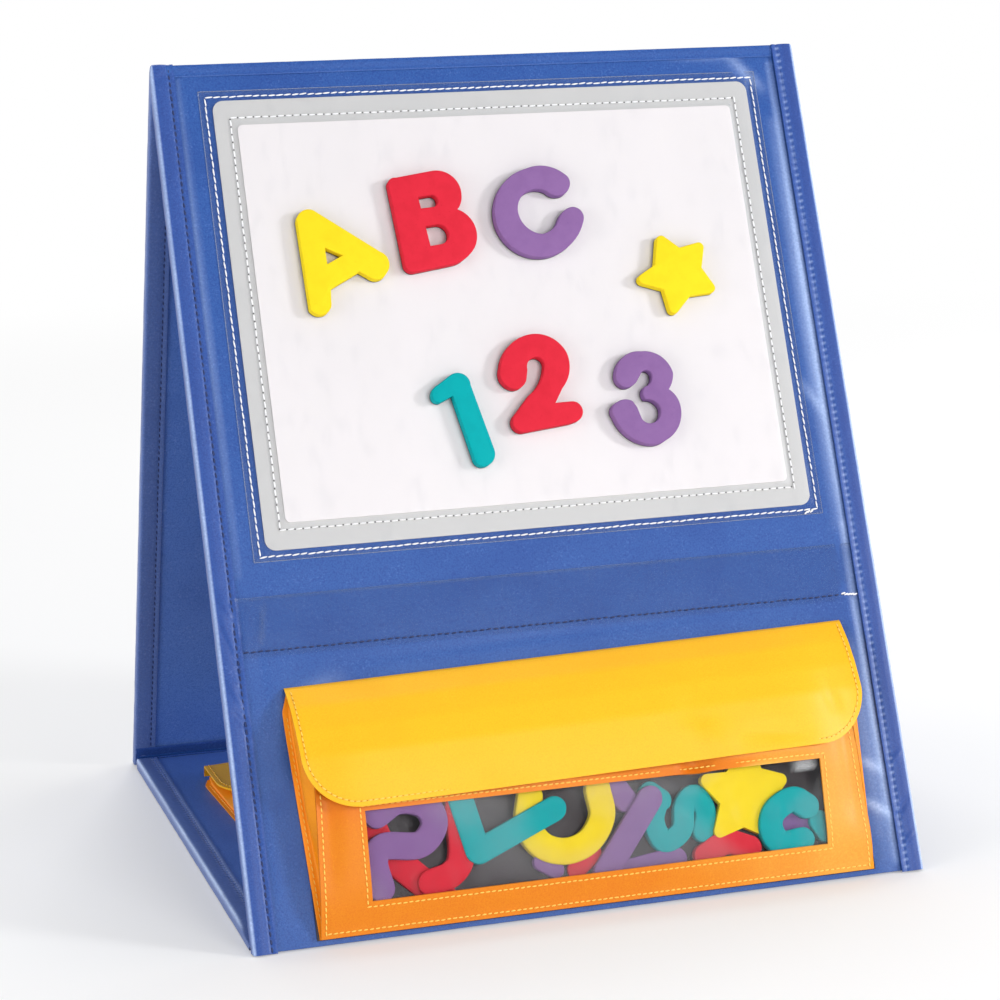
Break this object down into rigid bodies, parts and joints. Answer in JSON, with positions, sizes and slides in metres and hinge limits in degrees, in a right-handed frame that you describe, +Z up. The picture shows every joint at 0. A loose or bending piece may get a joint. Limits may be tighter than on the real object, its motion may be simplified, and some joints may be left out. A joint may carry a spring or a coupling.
{
  "type": "tabletop pocket chart",
  "caption": "Folding tabletop easel tent of padded blue vinyl with a magnetic write-on board, foam letters, clear card pockets and flapped yellow pouches.",
  "frame": {"origin": "on the table, midway between the bottom edges of the front and rear panels", "axes": "+Z up, +X to the right of a viewer who faces the write-on board, -Y towards that viewer"},
  "size_m": [0.318, 0.308, 0.3752],
  "materials": {
    "blue_vinyl": "satin, finely grained",
    "chipboard": "matt grey-brown board",
    "steel": "rolled",
    "white_board": "smooth, wipe-clean",
    "grey_sheet": "satin",
    "clear_vinyl": "clear and glossy",
    "yellow_vinyl": "satin, finely grained",
    "hook_tape": "stiff hooks",
    "loop_tape": "soft loops",
    "foam_yellow": "matt closed-cell foam",
    "foam_red": "matt closed-cell foam",
    "foam_purple": "matt closed-cell foam",
    "foam_teal": "matt closed-cell foam",
    "magnet_sheet": "matt magnetic rubber"
  },
  "bodies": {
    "rear_panel": {"rear_board": "chipboard", "rear_cover": "blue_vinyl", "rear_lining": "blue_vinyl", "rear_bindings": "blue_vinyl", "rear_card_pockets": "clear_vinyl", "ridge_strip": "blue_vinyl", "rear_hinge_strip": "blue_vinyl"},
    "front_panel": {"front_board": "chipboard", "front_cover": "blue_vinyl", "front_lining": "blue_vinyl", "front_bindings": "blue_vinyl", "steel_sheet": "steel", "board_backing": "grey_sheet", "write_on_board": "white_board", "board_cover_sheet": "clear_vinyl", "clear_card_pocket": "clear_vinyl", "closure_tab": "blue_vinyl", "closure_hook_tape": "hook_tape", "pouch_back": "yellow_vinyl", "pouch_front_frame": "yellow_vinyl", "pouch_window": "clear_vinyl", "pouch_gusset_left": "yellow_vinyl", "pouch_gusset_right": "yellow_vinyl", "pouch_catch_tape": "loop_tape", "contents_purple": "foam_purple", "contents_red": "foam_red", "contents_teal": "foam_teal", "contents_yellow": "foam_yellow"},
    "pouch_flap_body": {"pouch_flap": "yellow_vinyl", "pouch_flap_tape": "hook_tape"},
    "base_panel": {"base_board": "chipboard", "base_cover": "blue_vinyl", "base_lining": "blue_vinyl", "base_bindings": "blue_vinyl", "base_front_margin": "blue_vinyl", "base_rear_margin": "blue_vinyl", "closure_loop_tape": "loop_tape", "base_pouch_back": "yellow_vinyl", "base_pouch_front_frame": "yellow_vinyl", "base_pouch_window": "clear_vinyl", "base_pouch_gusset_left": "yellow_vinyl", "base_pouch_gusset_right": "yellow_vinyl", "base_pouch_catch_tape": "loop_tape"},
    "base_flap_body": {"base_pouch_flap": "yellow_vinyl", "base_pouch_flap_tape": "hook_tape"},
    "letter_a_body": {"letter_a_foam": "foam_yellow", "letter_a_magnet": "magnet_sheet"},
    "letter_b_body": {"letter_b_foam": "foam_red", "letter_b_magnet": "magnet_sheet"},
    "letter_c_body": {"letter_c_foam": "foam_purple", "letter_c_magnet": "magnet_sheet"},
    "star_body": {"star_foam": "foam_yellow", "star_magnet": "magnet_sheet"},
    "number_1_body": {"number_1_foam": "foam_teal", "number_1_magnet": "magnet_sheet"},
    "number_2_body": {"number_2_foam": "foam_red", "number_2_magnet": "magnet_sheet"},
    "number_3_body": {"number_3_foam": "foam_purple", "number_3_magnet": "magnet_sheet"}
  },
  "joints": [
    {"name": "ridge_fold", "type": "hinge", "parent": "rear_panel", "child": "front_panel", "pos_m": [0, 0, 0.35984], "axis": [1, 0, 0], "range_deg": [0, 36]},
    {"name": "base_fold", "type": "hinge", "parent": "rear_panel", "child": "base_panel", "pos_m": [0, 0.154, 0], "axis": [1, 0, 0], "range_deg": [0, 288]},
    {"name": "pouch_flap_lift", "type": "hinge", "parent": "front_panel", "child": "pouch_flap_body", "pos_m": [0.0025, -0.11056, 0.10756], "axis": [-0.9998, -0.0079, -0.0194], "range_deg": [0, 105]},
    {"name": "base_flap_lift", "type": "hinge", "parent": "base_panel", "child": "base_flap_body", "pos_m": [0.0025, 0.092, 0.0064], "axis": [-1, 0, 0], "range_deg": [0, 60]},
    {"name": "letter_a_lift_off", "type": "slide", "parent": "front_panel", "child": "letter_a_body", "axis": [0, -0.9253, 0.3793], "range_m": [0, 0.06]},
    {"name": "letter_b_lift_off", "type": "slide", "parent": "front_panel", "child": "letter_b_body", "axis": [0, -0.9253, 0.3793], "range_m": [0, 0.06]},
    {"name": "letter_c_lift_off", "type": "slide", "parent": "front_panel", "child": "letter_c_body", "axis": [0, -0.9253, 0.3793], "range_m": [0, 0.06]},
    {"name": "star_lift_off", "type": "slide", "parent": "front_panel", "child": "star_body", "axis": [0, -0.9253, 0.3793], "range_m": [0, 0.06]},
    {"name": "number_1_lift_off", "type": "slide", "parent": "front_panel", "child": "number_1_body", "axis": [0, -0.9253, 0.3793], "range_m": [0, 0.06]},
    {"name": "number_2_lift_off", "type": "slide", "parent": "front_panel", "child": "number_2_body", "axis": [0, -0.9253, 0.3793], "range_m": [0, 0.06]},
    {"name": "number_3_lift_off", "type": "slide", "parent": "front_panel", "child": "number_3_body", "axis": [0, -0.9253, 0.3793], "range_m": [0, 0.06]}
  ],
  "couplings": [
    {"joint": "ridge_fold", "follows": "base_fold", "ratio": 0.125}
  ]
}
